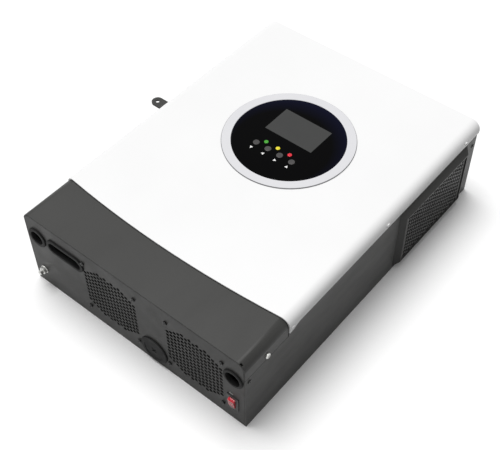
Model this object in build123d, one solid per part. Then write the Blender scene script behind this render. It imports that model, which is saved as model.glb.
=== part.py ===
from build123d import *

import math
import os

# Wall-mount inverter lying on its back. Millimetres, +Z up out of the front face.
# X is across the unit, Y runs from the terminal end (low) to the far end (high).
# The origin is the centre of the back face.

# ---- driving sizes of the housing ----
WIDTH = 300.0
LENGTH = 414.0
HEIGHT = 108.0
WALL_T = 1.5
SHEET_T = 1.2
CORNER_R = 10.0
SEAM = 0.15
WALL_TOP_BELOW = 10.5
LIP_TOP_BELOW = 5.5
LIP_DEPTH = 14.5
LIP_STANDOFF = 0.2

# ---- front cover ----
COVER_T = 1.4
COVER_GAP = 0.1
SKIRT_DEPTH = 13.5
SKIRT_TAB_DROP = 4.2
SKIRT_TAB_END = 67.5
SKIRT_SLOPE = 13.0
EDGE_SIDE = 65.0
EDGE_CENTRE = 56.0
EDGE_GAP = 0.4

# ---- terminal cover ----
TERMINAL_SKIRT_DEPTH = 24.0
RELIEF_WIDTH = 2.6
RELIEF_DEPTH = 2.4
RELIEF_FROM_SIDE = 4.0
RAIL_START = 46.0
RAIL_END = 84.0
RAIL_DEPTH = 17.0

# ---- end panels ----
FLANGE_DEPTH = 12.0
FLANGE_LOW = 8.0
FLANGE_BELOW_SKIRT = 2.0

# ---- perforation shared by both fan vents and both side vents ----
HEX_FLATS = 4.2
HEX_PITCH = 5.65
VENT_HALF_COLUMNS = 7
VENT_ROWS_ODD = 13

# ---- fans ----
FAN_SIZE = 80.0
FAN_DEPTH = 25.0
FAN_SCREW_SPACING = 71.5
FAN_CORNER_R = 5.0
FAN_BORE_R = 38.5
FAN_PAD = 2.9
FAN_PAD_R = 3.9
FAN_TIP_GAP = 0.9
FAN_HUB_R = 18.0
FAN_HUB_WALL = 2.0
FAN_BLADES = 7
FAN_BLADE_T = 1.8
FAN_BLADE_PITCH = 38.0
FAN_SHAFT_R = 1.5
FAN_BEARING_R = 4.5
FAN_SPIDER_T = 3.0
FAN_LEFT_X = -28.5
FAN_LEFT_Z = 54.0
FAN_RIGHT_X = 85.5
FAN_RIGHT_Z = 52.5

# ---- cable entries of the terminal end ----
GROMMET_LIP = 1.8
GROMMET_LEFT_FROM_SIDE = 17.0
GROMMET_LEFT_Z = 79.5
GROMMET_LEFT_R = 12.5
GROMMET_LEFT_BORE_R = 8.7
GROMMET_RIGHT_FROM_SIDE = 14.5
GROMMET_RIGHT_Z = 75.5
GROMMET_RIGHT_R = 12.0
GROMMET_RIGHT_BORE_R = 8.9
GROMMET_WALL = 1.6
GROMMET_INNER_LIP = 1.1
SLOT_X = -91.0
SLOT_Z = 81.5
SLOT_LENGTH = 54.0
SLOT_HEIGHT = 20.4
SLOT_RIM = 3.6
SLOT_WALL = 1.6
SLOT_INNER_LIP = 0.6
BATTERY_X = 28.8
BATTERY_Z = 22.0
BATTERY_R = 17.8
BATTERY_BORE_R = 13.2
MEMBRANE_T = 1.4
MEMBRANE_SLIT = 1.1
MEMBRANE_REACH = 8.0

# ---- power switch ----
SWITCH_FROM_SIDE = 16.3
SWITCH_Z = 31.2
SWITCH_BEZEL = (15.0, 21.0)
SWITCH_BODY = (12.8, 18.8)
SWITCH_BEZEL_T = 1.2
SWITCH_DEPTH = 14.0
SWITCH_CAVITY_DEPTH = 7.0
ROCKER_SIZE = (7.7, 12.0)
ROCKER_GAP = 0.2
ROCKER_PIVOT_DEPTH = 0.6
ROCKER_FRONT = 3.7
ROCKER_BASE = 3.5
ROCKER_REST_DEG = 8.0
ROCKER_PIN_BITE = 0.8
ROCKER_PIN_R = 1.0
PIN_GAP = 0.05

# ---- earth stud ----
EARTH_FROM_SIDE = 14.5
EARTH_Z = 24.0
EARTH_R = 2.5
EARTH_REACH = 8.5
EARTH_INSIDE = 10.0
EARTH_NUT_FLATS = 8.0
EARTH_NUT_T = 3.2
EARTH_WASHER_R = 5.0
EARTH_WASHER_T = 1.0

# ---- control panel on the front cover ----
PANEL_FROM_END = 257.4
BEZEL_R = 75.3
BEZEL_RISE = 1.2
BEZEL_BEVEL = 0.5
BEZEL_COLLAR_R = 69.7
BEZEL_COLLAR_T = 2.0
BEZEL_COLLAR_DEPTH = 3.5
LENS_R = 64.3
LENS_T = 2.6
LENS_SEAT_W = 5.0
LENS_SEAT_T = 1.4
LENS_RECESS = 0.2
LCD_SIZE = (64.0, 39.5)
LCD_OFFSET = 17.4
LCD_BODY = (76.0, 50.0)
LED_R = 2.5
LED_RISE = 0.4
LED_OFFSET = -19.5
LED_SPACING = 16.3
BUTTON_R = 3.85
BUTTON_GAP = 0.25
BUTTON_OFFSET = -26.9
BUTTON_SPACING = 16.3
BUTTON_RISE = 0.5
BUTTON_TRAVEL = 0.5
BUTTON_FLANGE = 0.85
CONTROL_BOARD = 116.0
CONTROL_BOARD_DROP = 8.5
BOARD_T = 1.6
TACT_H = 3.0
TACT_SIZE = 6.0
POST_INSET = 5.0
POST_R = 3.0

# ---- side vents ----
VENT_START = 257.0
VENT_LENGTH = 136.0
VENT_LOW = 4.0
VENT_HEIGHT = 84.5
VENT_RISE = 6.0
VENT_RIM = 1.5
VENT_T = 1.2
MESH_T = 1.0
FILTER_T = 2.6
CLIP_W = 8.0
CLIP_T = 1.2
CLIP_REACH = 3.5
CLIP_ROOT = 2.6

# ---- side lug ----
LUG_FROM_END = 224.7
LUG_R = 7.0
LUG_REACH = 26.5
LUG_Z = 91.0
LUG_T = 2.0
LUG_HOLE_R = 2.3
LUG_LEG = 16.0

# ---- screws ----
SMALL_SCREW_R = 1.5
SMALL_HEAD_R = 2.3
SMALL_HEAD_H = 1.0
BIG_SCREW_R = 1.9
BIG_HEAD_R = 3.25
BIG_HEAD_H = 2.4
FAN_HEAD_R = 2.4
FAN_HEAD_H = 1.7
SCREW_REACH = 7.0
HOLE_GAP = 0.2
THREAD_GAP = 0.06
PANEL_SCREW_INSET = 6.0
PANEL_SCREW_ZS = (77.0,)
TERMINAL_SCREW_FROM_END = 32.0
TERMINAL_SCREW_Z = 91.0
TAB_HALF = 11.0
TAB_LOW = 60.0
TAB_BELOW_CURVE = 2.0
COVER_SCREWS = ((70.0, 95.0), (230.0, 99.5), (384.0, 99.5))

# ---- wall mounting ----
WALL_HOLE_R = 3.25
WALL_HOLE_X = 125.0
WALL_HOLE_Y = 170.0

# ---- main board and what stands on it ----
BOARD_HALF_X = 112.0
BOARD_START = 36.0
BOARD_END_GAP = 22.0
BOARD_Z = 10.0
STANDOFF_R = 3.2
STANDOFF_INSET = 8.0
HEATSINK_START = 88.0
HEATSINK_LENGTH = 126.0
HEATSINK_HEIGHT = 50.0
HEATSINK_BASE = 6.0
FIN_T = 2.0
FIN_COUNT = 9
HEATSINK_LEFT = (-66.0, 6.0)
HEATSINK_RIGHT = (48.0, 98.0)
TRANSISTOR_T = 5.0
TRANSISTOR_W = 16.0
TRANSISTOR_H = 21.0
TRANSISTOR_LEG = 4.0
TRANSISTOR_COUNT = 5
TRANSFORMER_X = -40.0
TRANSFORMER_FROM_END = 300.0
CAPACITOR_R = 15.0
CAPACITOR_H = 50.0
CAPACITOR_PITCH = 34.0
CAPACITOR_FROM_END = 250.0
CAPACITOR_X = 52.0
CAPACITOR_GRID = (2, 3)
TOROID_R = 23.0
TOROID_BORE_R = 10.0
TOROID_H = 26.0
TOROID_ROUND = 3.0
TOROID_CLEAR = 8.0
TOROID_XS = (-70.0, -18.0, 34.0)
CORE_HALF = (42.0, 16.0)
CORE_HEIGHT = 60.0
CORE_LIMB_HALF = 10.0
CORE_YOKE = 10.0
CORE_WINDOW = 20.0
WINDING_SIZE = (59.2, 56.0)
WINDING_ROUND = 6.0
WINDING_GAP = 0.4
RELAY_XS = (-98.0, -76.0)
RELAY_START = 90.0
RELAY_LENGTH = 28.0
RELAY_PITCH = 32.0
RELAY_H = 25.0
RELAY_COUNT = 4
AC_BLOCK_XS = (-97.0, -53.0)
AC_BLOCK_WAYS = 5
AC_BLOCK_H = 24.0
PV_BLOCK_XS = (62.0, 97.0)
PV_BLOCK_WAYS = 4
PV_BLOCK_H = 20.0
BLOCK_START = 40.0
BLOCK_DEPTH = 22.0
BLOCK_WIRE_DEPTH = 14.0
BLOCK_WIRE_LOW = 4.0
BLOCK_WIRE_HIGH = 12.0
BLOCK_WELL_LOW = 14.0
BUSBAR_XS = (19.0, 39.0)
BUSBAR_WIDTH = 14.0
BUSBAR_START = 40.0
BUSBAR_LENGTH = 40.0
BUSBAR_T = 3.0
BUSBAR_STUD_R = 4.0
BUSBAR_STUD_H = 22.0
BUSBAR_STUD_INSET = 10.0
FUSE_XS = (17.0, 33.0)
FUSE_WIDTH = 12.0
FUSE_START = 84.0
FUSE_LENGTH = 22.0
FUSE_H = 18.0
SOCKET_XS = (-36.0, -19.0)
SOCKET_WIDTH = 16.0
SOCKET_START = 38.0
SOCKET_DEPTH = 16.0
SOCKET_H = 13.5
SOCKET_WALL = 2.0
SOCKET_BACK = 4.0
SOCKET_FLOOR = 3.0
SOCKET_ROOF = 2.5
HEADER_START = 76.0
HEADER_SIZE = 6.0
HEADER_LEFT_INSET = 18.0
HEADER_RIGHT_INSET = 8.0

# ---- cables inside ----
LEAD_R = 1.2
LEAD_Z = 26.0
LEAD_BEND_R = 12.0
LEAD_DROP = (46.0, 62.0)
LEAD_ABOVE_BOARD = 4.0
RIBBON_X = 22.0
RIBBON_FROM_END = 224.0
RIBBON_SIZE = (20.0, 1.2)
RIBBON_STEP = 14.0
RIBBON_STEP_Z = (44.0, 74.0)
RIBBON_BEND_R = 14.0

# ---- worked-out places ----
NEAR = -LENGTH / 2
FAR = LENGTH / 2
SIDE = WIDTH / 2
WALL_IN = SIDE - WALL_T
COVER_IN = SIDE + COVER_GAP
COVER_OUT = COVER_IN + COVER_T
COVER_TOP = HEIGHT + COVER_GAP + COVER_T
COVER_UNDER = HEIGHT + COVER_GAP
TERMINAL_SKIRT_LOW = HEIGHT - TERMINAL_SKIRT_DEPTH
LIP_OUT = WALL_IN + LIP_STANDOFF
PANEL_SIDE = WALL_IN - SEAM
PANEL_TOP = HEIGHT - SHEET_T - SEAM
PANEL_R = CORNER_R - SHEET_T - SEAM
PANEL_Y = NEAR + PANEL_FROM_END
LENS_TOP = COVER_TOP + BEZEL_RISE - LENS_RECESS
LENS_LOW = LENS_TOP - LENS_T
ROCKER_R = math.hypot(ROCKER_SIZE[1] / 2, ROCKER_FRONT)
CONTROL_TOP = COVER_UNDER - CONTROL_BOARD_DROP
CONTROL_LOW = CONTROL_TOP - BOARD_T
BOARD_TOP = BOARD_Z + BOARD_T
FAN_FACE = SHEET_T + FAN_PAD + 0.1
BUTTON_XS = [BUTTON_SPACING * (i - 1.5) for i in range(4)]
LED_XS = [LED_SPACING * (i - 1) for i in range(3)]


def along(distance):
    """Y at a distance from the terminal end."""
    return NEAR + distance


def block(x, y, z):
    """A box between three pairs of limits."""
    size = Box(x[1] - x[0], y[1] - y[0], z[1] - z[0])
    return Pos((x[0] + x[1]) / 2, (y[0] + y[1]) / 2, (z[0] + z[1]) / 2) * size


def drum(radius, low, high):
    """A cylinder on the local Z axis between two heights."""
    return Pos(0, 0, (low + high) / 2) * Cylinder(radius, high - low)


def tube(outer, inner, low, high):
    return drum(outer, low, high) - drum(inner, low - 1, high + 1)


def extrude_x(sketch, low, high):
    return extrude(Plane.YZ.offset(low) * sketch, high - low)


def extrude_y(sketch, low, high):
    return extrude(Plane.XZ.offset(-high) * sketch, high - low)


def extrude_z(sketch, low, high):
    return extrude(Pos(0, 0, low) * sketch, high - low)


def on_end(x, z):
    """Frame on the outer face of the terminal end, local Z pointing outwards."""
    return Pos(x, NEAR, z) * Rot(90, 0, 0)


def into_end(x, depth, z):
    """Frame behind the terminal end, local Z pointing into the housing."""
    return Pos(x, along(depth), z) * Rot(-90, 0, 0)


def on_side(side, y, z):
    """Frame on a side wall's outer face, local Z pointing outwards."""
    return Pos(side * SIDE, y, z) * Rot(0, 90 * side, 0)


def arch(half_width, low, top, radius):
    """Rectangle with its two upper corners rounded."""
    outline = Pos(0, (low + top) / 2) * Rectangle(2 * half_width, top - low)
    return fillet(outline.vertices().group_by(Axis.Y)[-1], radius)


def arch_shell(half_width, low, top, radius, thickness):
    inner = arch(half_width - thickness, low - 5, top - thickness, radius - thickness)
    return arch(half_width, low, top, radius) - inner


def screw(radius, head_radius, head_height, reach):
    """Pan-head screw: head above local Z = 0, shank below it."""
    head = drum(head_radius, 0, head_height)
    head = fillet(head.edges().group_by(Axis.Z)[-1], head_height * 0.45)
    slot = Pos(0, 0, head_height) * (
        Box(head_radius, head_radius * 0.28, head_height) + Box(head_radius * 0.28, head_radius, head_height)
    )
    return head + drum(radius, -reach, 0) - slot


def hex_field(half_columns, rows_of):
    """Honeycomb of hexagons centred on the local origin, as a list of sketches."""
    column = HEX_PITCH * math.sqrt(3) / 2
    cells = []
    for i in range(-half_columns, half_columns + 1):
        rows = rows_of(abs(i))
        for j in range(rows):
            place = Pos(i * column, (j - (rows - 1) / 2) * HEX_PITCH)
            cells.append(place * RegularPolygon(HEX_FLATS / 2, 6, major_radius=False))
    return cells


def fan_vent_rows(column):
    """Rows in a fan vent's column: an octagon-like field with clipped corners."""
    tallest = VENT_ROWS_ODD if column % 2 else VENT_ROWS_ODD - 1
    return min(tallest, 2 * VENT_HALF_COLUMNS + 2 - column)


def corners(half_x, half_y):
    return [(sx * half_x, sy * half_y) for sx in (-1, 1) for sy in (-1, 1)]


# ---- places of the terminal end's fittings ----
GROMMET_LEFT = (-SIDE + GROMMET_LEFT_FROM_SIDE, GROMMET_LEFT_Z)
GROMMET_RIGHT = (SIDE - GROMMET_RIGHT_FROM_SIDE, GROMMET_RIGHT_Z)
SWITCH = (SIDE - SWITCH_FROM_SIDE, SWITCH_Z)
EARTH = (-SIDE + EARTH_FROM_SIDE, EARTH_Z)
FAN_LEFT = (FAN_LEFT_X, FAN_LEFT_Z)
FAN_RIGHT = (FAN_RIGHT_X, FAN_RIGHT_Z)
FAN_SCREWS = corners(FAN_SCREW_SPACING / 2, FAN_SCREW_SPACING / 2)
PANEL_SCREW_YS = (along(PANEL_SCREW_INSET), FAR - PANEL_SCREW_INSET)
STANDOFF_YS = [
    along(BOARD_START) + STANDOFF_INSET,
    (along(BOARD_START) + FAR - BOARD_END_GAP) / 2,
    FAR - BOARD_END_GAP - STANDOFF_INSET,
]
STANDOFF_PLACES = [(s * (BOARD_HALF_X - STANDOFF_INSET), y) for s in (-1, 1) for y in STANDOFF_YS]


def side_window():
    """Wall opening behind a side vent, as limits in Y and Z."""
    inset = VENT_T + 1.3
    y = (along(VENT_START) + inset, along(VENT_START + VENT_LENGTH) - inset)
    return y, (VENT_LOW + inset, VENT_LOW + VENT_HEIGHT - inset)


def chassis_tray():
    wall_top = HEIGHT - WALL_TOP_BELOW
    outer = block((-SIDE, SIDE), (NEAR, FAR), (0, wall_top))
    body = outer - block((-WALL_IN, WALL_IN), (NEAR - 1, FAR + 1), (WALL_T, HEIGHT))
    window_y, window_z = side_window()
    for side in (-1, 1):
        xs = sorted((side * (SIDE + 1), side * (WALL_IN - 1)))
        step_y = (NEAR - 1, along(EDGE_SIDE + EDGE_GAP))
        body -= block(xs, step_y, (TERMINAL_SKIRT_LOW - SEAM, HEIGHT))
        body -= block(xs, window_y, window_z)
        lip_xs = sorted((side * LIP_OUT, side * (LIP_OUT - WALL_T)))
        lip_y = (along(RAIL_END + 2), FAR - FLANGE_DEPTH - 2)
        lip_top = HEIGHT - LIP_TOP_BELOW
        body += block(lip_xs, lip_y, (lip_top - LIP_DEPTH, lip_top))
        tab_y = along(TERMINAL_SCREW_FROM_END)
        tab_z = (TAB_LOW, HEIGHT - CORNER_R - TAB_BELOW_CURVE)
        body += block(lip_xs, (tab_y - TAB_HALF, tab_y + TAB_HALF), tab_z)
        for y in PANEL_SCREW_YS:
            for z in PANEL_SCREW_ZS:
                body -= on_side(side, y, z) * drum(SMALL_SCREW_R + HOLE_GAP, -WALL_T - 2, 1)
        for distance, z in COVER_SCREWS:
            body -= on_side(side, along(distance), z) * drum(SMALL_SCREW_R + THREAD_GAP, -WALL_T - 2, 1)
        body -= on_side(side, tab_y, TERMINAL_SCREW_Z) * drum(BIG_SCREW_R + THREAD_GAP, -WALL_T - 3, 1)
    rivet_y = along(LUG_FROM_END)
    body -= on_side(-1, rivet_y, LUG_Z - LUG_LEG / 2) * drum(LUG_HOLE_R, -WALL_T - 1, 1)
    for x, y in corners(WALL_HOLE_X, WALL_HOLE_Y):
        body -= Pos(x, y, 0) * drum(WALL_HOLE_R, -1, WALL_T + 1)
    return body


def end_panel_plate():
    return arch(PANEL_SIDE, WALL_T + SEAM, PANEL_TOP, PANEL_R)


def with_flanges(plate, y_out, inward):
    """Adds the two folded side flanges that the panel screws go into."""
    y = sorted((y_out, y_out + inward * FLANGE_DEPTH))
    high = TERMINAL_SKIRT_LOW - FLANGE_BELOW_SKIRT
    for side in (-1, 1):
        xs = sorted((side * PANEL_SIDE, side * (PANEL_SIDE - SHEET_T)))
        plate += block(xs, y, (FLANGE_LOW, high))
        for z in PANEL_SCREW_ZS:
            place = on_side(side, y_out + inward * PANEL_SCREW_INSET, z)
            plate -= place * drum(SMALL_SCREW_R + THREAD_GAP, -WALL_T - SHEET_T - 2, 1)
    return plate


def terminal_end_panel():
    holes = []
    for x, z in (FAN_LEFT, FAN_RIGHT):
        holes += [Pos(x, z) * cell for cell in hex_field(VENT_HALF_COLUMNS, fan_vent_rows)]
        holes += [Pos(x + dx, z + dz) * Circle(BIG_SCREW_R + HOLE_GAP) for dx, dz in FAN_SCREWS]
    holes.append(Pos(*GROMMET_LEFT) * Circle(GROMMET_LEFT_BORE_R + GROMMET_WALL + HOLE_GAP))
    holes.append(Pos(*GROMMET_RIGHT) * Circle(GROMMET_RIGHT_BORE_R + GROMMET_WALL + HOLE_GAP))
    holes.append(Pos(BATTERY_X, BATTERY_Z) * Circle(BATTERY_BORE_R + GROMMET_WALL + HOLE_GAP))
    slot_rim = 2 * (SLOT_RIM - SLOT_WALL) - 2 * HOLE_GAP
    holes.append(Pos(SLOT_X, SLOT_Z) * SlotOverall(SLOT_LENGTH - slot_rim, SLOT_HEIGHT - slot_rim))
    holes.append(
        Pos(*SWITCH) * Rectangle(SWITCH_BODY[0] + 2 * HOLE_GAP, SWITCH_BODY[1] + 2 * HOLE_GAP)
    )
    holes.append(Pos(*EARTH) * Circle(EARTH_R + HOLE_GAP))
    plate = extrude_y(end_panel_plate() - holes, NEAR, along(SHEET_T))
    return with_flanges(plate, NEAR, 1)


def far_end_panel():
    plate = extrude_y(end_panel_plate(), FAR - SHEET_T, FAR)
    return with_flanges(plate, FAR, -1)


def edge_plan(gap):
    """Plan of the terminal area, bounded by the arc between the two covers."""
    reach = COVER_OUT + 1
    left = (-reach, along(EDGE_SIDE + gap))
    right = (reach, along(EDGE_SIDE + gap))
    arc = ThreePointArc(right, (0, along(EDGE_CENTRE + gap)), left)
    sides = Polyline(left, (-reach, NEAR - 1), (reach, NEAR - 1), right)
    return make_face([arc.edge(), *sides.edges()])


def terminal_cover():
    section = arch_shell(SIDE, TERMINAL_SKIRT_LOW, HEIGHT, CORNER_R, SHEET_T)
    cover = extrude_y(section, NEAR, along(EDGE_SIDE + 2))
    cover &= extrude_z(edge_plan(0), 0, HEIGHT + 1)
    relief_x = SIDE - RELIEF_FROM_SIDE
    relief_y = (NEAR - 1, along(RELIEF_DEPTH))
    cover -= block((relief_x - RELIEF_WIDTH, relief_x), relief_y, (HEIGHT / 2, HEIGHT + 1))
    for side in (-1, 1):
        place = on_side(side, along(TERMINAL_SCREW_FROM_END), TERMINAL_SCREW_Z)
        cover -= place * drum(BIG_SCREW_R + HOLE_GAP, -SHEET_T - 1, 1)
    return cover


def cover_rail():
    """Arched strip under the seam between the two covers."""
    section = arch_shell(PANEL_SIDE, HEIGHT - RAIL_DEPTH, PANEL_TOP, PANEL_R, SHEET_T)
    rail = extrude_y(section, along(RAIL_START), along(RAIL_END))
    distance, z = COVER_SCREWS[0]
    for side in (-1, 1):
        hole = drum(SMALL_SCREW_R + THREAD_GAP, -WALL_T - SHEET_T - 2, 1)
        rail -= on_side(side, along(distance), z) * hole
    return rail


def front_cover():
    high = HEIGHT - SKIRT_DEPTH
    low = high - SKIRT_TAB_DROP
    section = arch_shell(COVER_OUT, low, COVER_TOP, CORNER_R + COVER_GAP + COVER_T, COVER_T)
    cover = extrude_y(section, along(EDGE_CENTRE - 2), FAR)
    cover -= extrude_z(edge_plan(EDGE_GAP), 0, COVER_TOP + 1)
    start = along(SKIRT_TAB_END)
    below = Polygon(
        (start, low - 2),
        (FAR + 1, low - 2),
        (FAR + 1, high),
        (start + SKIRT_SLOPE, high),
        (start, low),
        align=None,
    )
    cover -= extrude_x(below, -COVER_OUT - 1, COVER_OUT + 1)
    cover -= Pos(0, PANEL_Y, 0) * drum(BEZEL_COLLAR_R + HOLE_GAP, COVER_UNDER - 1, COVER_TOP + 1)
    for side in (-1, 1):
        for distance, z in COVER_SCREWS:
            place = on_side(side, along(distance), z)
            cover -= place * drum(SMALL_SCREW_R + HOLE_GAP, -1, COVER_OUT - SIDE + 1)
    return cover


def side_screws(places, radius, head_radius, head_height, stand, reach):
    """Screws through both side walls; stand is the head seat's height off the wall."""
    return [
        on_side(side, y, z) * Pos(0, 0, stand) * screw(radius, head_radius, head_height, reach)
        for side in (-1, 1)
        for y, z in places
    ]


def front_cover_screws():
    places = [(along(distance), z) for distance, z in COVER_SCREWS]
    stand = COVER_OUT - SIDE
    return side_screws(places, SMALL_SCREW_R, SMALL_HEAD_R, SMALL_HEAD_H, stand, SCREW_REACH)


def terminal_cover_screws():
    places = [(along(TERMINAL_SCREW_FROM_END), TERMINAL_SCREW_Z)]
    return side_screws(places, BIG_SCREW_R, BIG_HEAD_R, BIG_HEAD_H, 0, SCREW_REACH)


def panel_screws():
    places = [(y, z) for y in PANEL_SCREW_YS for z in PANEL_SCREW_ZS]
    return side_screws(places, SMALL_SCREW_R, SMALL_HEAD_R, SMALL_HEAD_H, 0, SCREW_REACH)


def fan_screws():
    reach = FAN_FACE + FAN_DEPTH * 0.8
    return [
        on_end(x + dx, z + dz) * screw(BIG_SCREW_R, FAN_HEAD_R, FAN_HEAD_H, reach)
        for x, z in (FAN_LEFT, FAN_RIGHT)
        for dx, dz in FAN_SCREWS
    ]


def fan_frame(centre):
    outline = RectangleRounded(FAN_SIZE, FAN_SIZE, FAN_CORNER_R)
    frame = extrude_z(outline, 0, FAN_DEPTH) - drum(FAN_BORE_R, -1, FAN_DEPTH + 1)
    spider_low = FAN_DEPTH - FAN_SPIDER_T
    frame += drum(FAN_HUB_R - 1, spider_low, FAN_DEPTH)
    spoke_length = FAN_BORE_R - FAN_HUB_R + 3
    for turn in range(4):
        place = Rot(0, 0, 90 * turn) * Pos((FAN_BORE_R + FAN_HUB_R) / 2, 0, spider_low + FAN_SPIDER_T / 2)
        frame += place * Box(spoke_length, FAN_SPIDER_T, FAN_SPIDER_T)
    frame += drum(FAN_BEARING_R, FAN_HUB_WALL + FAN_BLADE_T + 2, spider_low + 1)
    frame -= drum(FAN_SHAFT_R + PIN_GAP, 0, FAN_DEPTH + 1)
    for dx, dz in FAN_SCREWS:
        frame += Pos(dx, dz, 0) * drum(FAN_PAD_R, -FAN_PAD, 1)
        frame -= Pos(dx, dz, 0) * drum(BIG_SCREW_R + THREAD_GAP, -FAN_PAD - 1, FAN_DEPTH + 1)
    return into_end(centre[0], FAN_FACE, centre[1]) * frame


def fan_rotor(centre):
    """Cup hub with its shaft and pitched blades, open towards the spider."""
    low = FAN_BLADE_T
    high = FAN_DEPTH - FAN_SPIDER_T - FAN_BLADE_T
    cup = drum(FAN_HUB_R, low, high)
    cup = fillet(cup.edges().group_by(Axis.Z)[0], FAN_HUB_WALL / 2)
    cup -= drum(FAN_HUB_R - FAN_HUB_WALL, low + FAN_HUB_WALL, high + 1)
    root = FAN_HUB_R - FAN_HUB_WALL / 2
    tip = FAN_BORE_R - FAN_TIP_GAP
    chord = (high - low - 2) / math.cos(math.radians(FAN_BLADE_PITCH))
    blades = []
    for i in range(FAN_BLADES):
        blade = Pos((root + tip) / 2 + 1, 0, (low + high) / 2) * Rot(FAN_BLADE_PITCH, 0, 0)
        blades.append(Rot(0, 0, 360 * i / FAN_BLADES) * blade * Box(tip - root + 2, FAN_BLADE_T, chord))
    sweep_space = tube(tip, root, low + 1, high - 1)
    for blade in blades:
        cup += blade & sweep_space
    cup += drum(FAN_SHAFT_R, low + 1, FAN_DEPTH - 1)
    return into_end(centre[0], FAN_FACE, centre[1]) * cup


def round_grommet(place, radius, bore_r):
    """Rubber ring with an outer lip, a neck in the panel and an inner lip."""
    neck = bore_r + GROMMET_WALL
    lip = drum(radius, 0, GROMMET_LIP)
    lip = fillet(lip.edges().group_by(Axis.Z)[-1], GROMMET_LIP * 0.5)
    ring = lip + drum(neck, -SHEET_T - 1, 1)
    ring += drum(neck + GROMMET_INNER_LIP, -SHEET_T - 2, -SHEET_T)
    ring -= drum(bore_r, -SHEET_T - 3, GROMMET_LIP + 1)
    return on_end(*place) * ring


def grommet_slot():
    bore = SlotOverall(SLOT_LENGTH - 2 * SLOT_RIM, SLOT_HEIGHT - 2 * SLOT_RIM)
    rim = 2 * (SLOT_RIM - SLOT_WALL)
    lip = extrude_z(SlotOverall(SLOT_LENGTH, SLOT_HEIGHT), 0, GROMMET_LIP)
    lip = fillet(lip.edges().group_by(Axis.Z)[-1], GROMMET_LIP * 0.45)
    ring = lip + extrude_z(SlotOverall(SLOT_LENGTH - rim, SLOT_HEIGHT - rim), -SHEET_T - 1, 1)
    inner = rim - 2 * SLOT_INNER_LIP
    ring += extrude_z(SlotOverall(SLOT_LENGTH - inner, SLOT_HEIGHT - inner), -SHEET_T - 2, -SHEET_T)
    ring -= extrude_z(bore, -SHEET_T - 3, GROMMET_LIP + 1)
    return on_end(SLOT_X, SLOT_Z) * ring


def grommet_battery():
    """Blind grommet whose membrane is slit in a cross."""
    ring = round_grommet((BATTERY_X, BATTERY_Z), BATTERY_R, BATTERY_BORE_R)
    membrane = drum(BATTERY_BORE_R + 1, 0, MEMBRANE_T)
    for turn in (45, -45):
        membrane -= Rot(0, 0, turn) * Box(MEMBRANE_REACH, MEMBRANE_SLIT, 4 * MEMBRANE_T)
    return ring + on_end(BATTERY_X, BATTERY_Z) * membrane


def switch_housing():
    cavity = (ROCKER_SIZE[0] + 2 * ROCKER_GAP, 2 * (ROCKER_R + ROCKER_GAP))
    bezel = extrude_z(RectangleRounded(*SWITCH_BEZEL, 1), 0, SWITCH_BEZEL_T)
    bezel = chamfer(bezel.edges().group_by(Axis.Z)[-1], 0.5)
    body = bezel + extrude_z(Rectangle(*SWITCH_BODY), -SWITCH_DEPTH, 0)
    body -= extrude_z(Rectangle(*cavity), -SWITCH_CAVITY_DEPTH, SWITCH_BEZEL_T + 1)
    pin_hole_reach = cavity[0] + 2 * (ROCKER_PIN_BITE + ROCKER_GAP)
    pin_hole = Cylinder(ROCKER_PIN_R + PIN_GAP, pin_hole_reach, rotation=(0, 90, 0))
    body -= Pos(0, 0, -ROCKER_PIVOT_DEPTH) * pin_hole
    for x in (-3.0, 0.0, 3.0):
        body += Pos(x, 0, -SWITCH_DEPTH - 3) * Box(0.8, 4.8, 8)
    return on_end(*SWITCH) * body


def switch_rocker():
    """Flat-fronted rocker with arc ends about its pivot, resting upper end out."""
    half = ROCKER_SIZE[0] / 2
    front = Pos(0, (ROCKER_FRONT - ROCKER_BASE) / 2) * Rectangle(2 * ROCKER_R, ROCKER_FRONT + ROCKER_BASE)
    section = front & Circle(ROCKER_R)
    rocker = extrude_x(section, -half, half)
    pin_reach = 2 * (half + ROCKER_GAP + ROCKER_PIN_BITE)
    rocker += Cylinder(ROCKER_PIN_R, pin_reach, rotation=(0, 90, 0))
    place = on_end(*SWITCH) * Pos(0, 0, -ROCKER_PIVOT_DEPTH) * Rot(ROCKER_REST_DEG, 0, 0)
    return place * rocker


def earth_stud():
    stud = drum(EARTH_R, -EARTH_INSIDE, EARTH_REACH)
    stud = chamfer(stud.edges().group_by(Axis.Z)[-1], 0.5)
    head = extrude_z(RegularPolygon(EARTH_NUT_FLATS / 2, 6, major_radius=False), -SHEET_T - 3, -SHEET_T)
    return on_end(*EARTH) * (stud + head)


def earth_nut():
    bore = drum(EARTH_R + THREAD_GAP, -1, EARTH_REACH)
    washer = drum(EARTH_WASHER_R, 0, EARTH_WASHER_T) - bore
    hexagon = RegularPolygon(EARTH_NUT_FLATS / 2, 6, major_radius=False)
    nut = extrude_z(hexagon, EARTH_WASHER_T, EARTH_WASHER_T + EARTH_NUT_T) - bore
    return [on_end(*EARTH) * washer, on_end(*EARTH) * nut]


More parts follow.
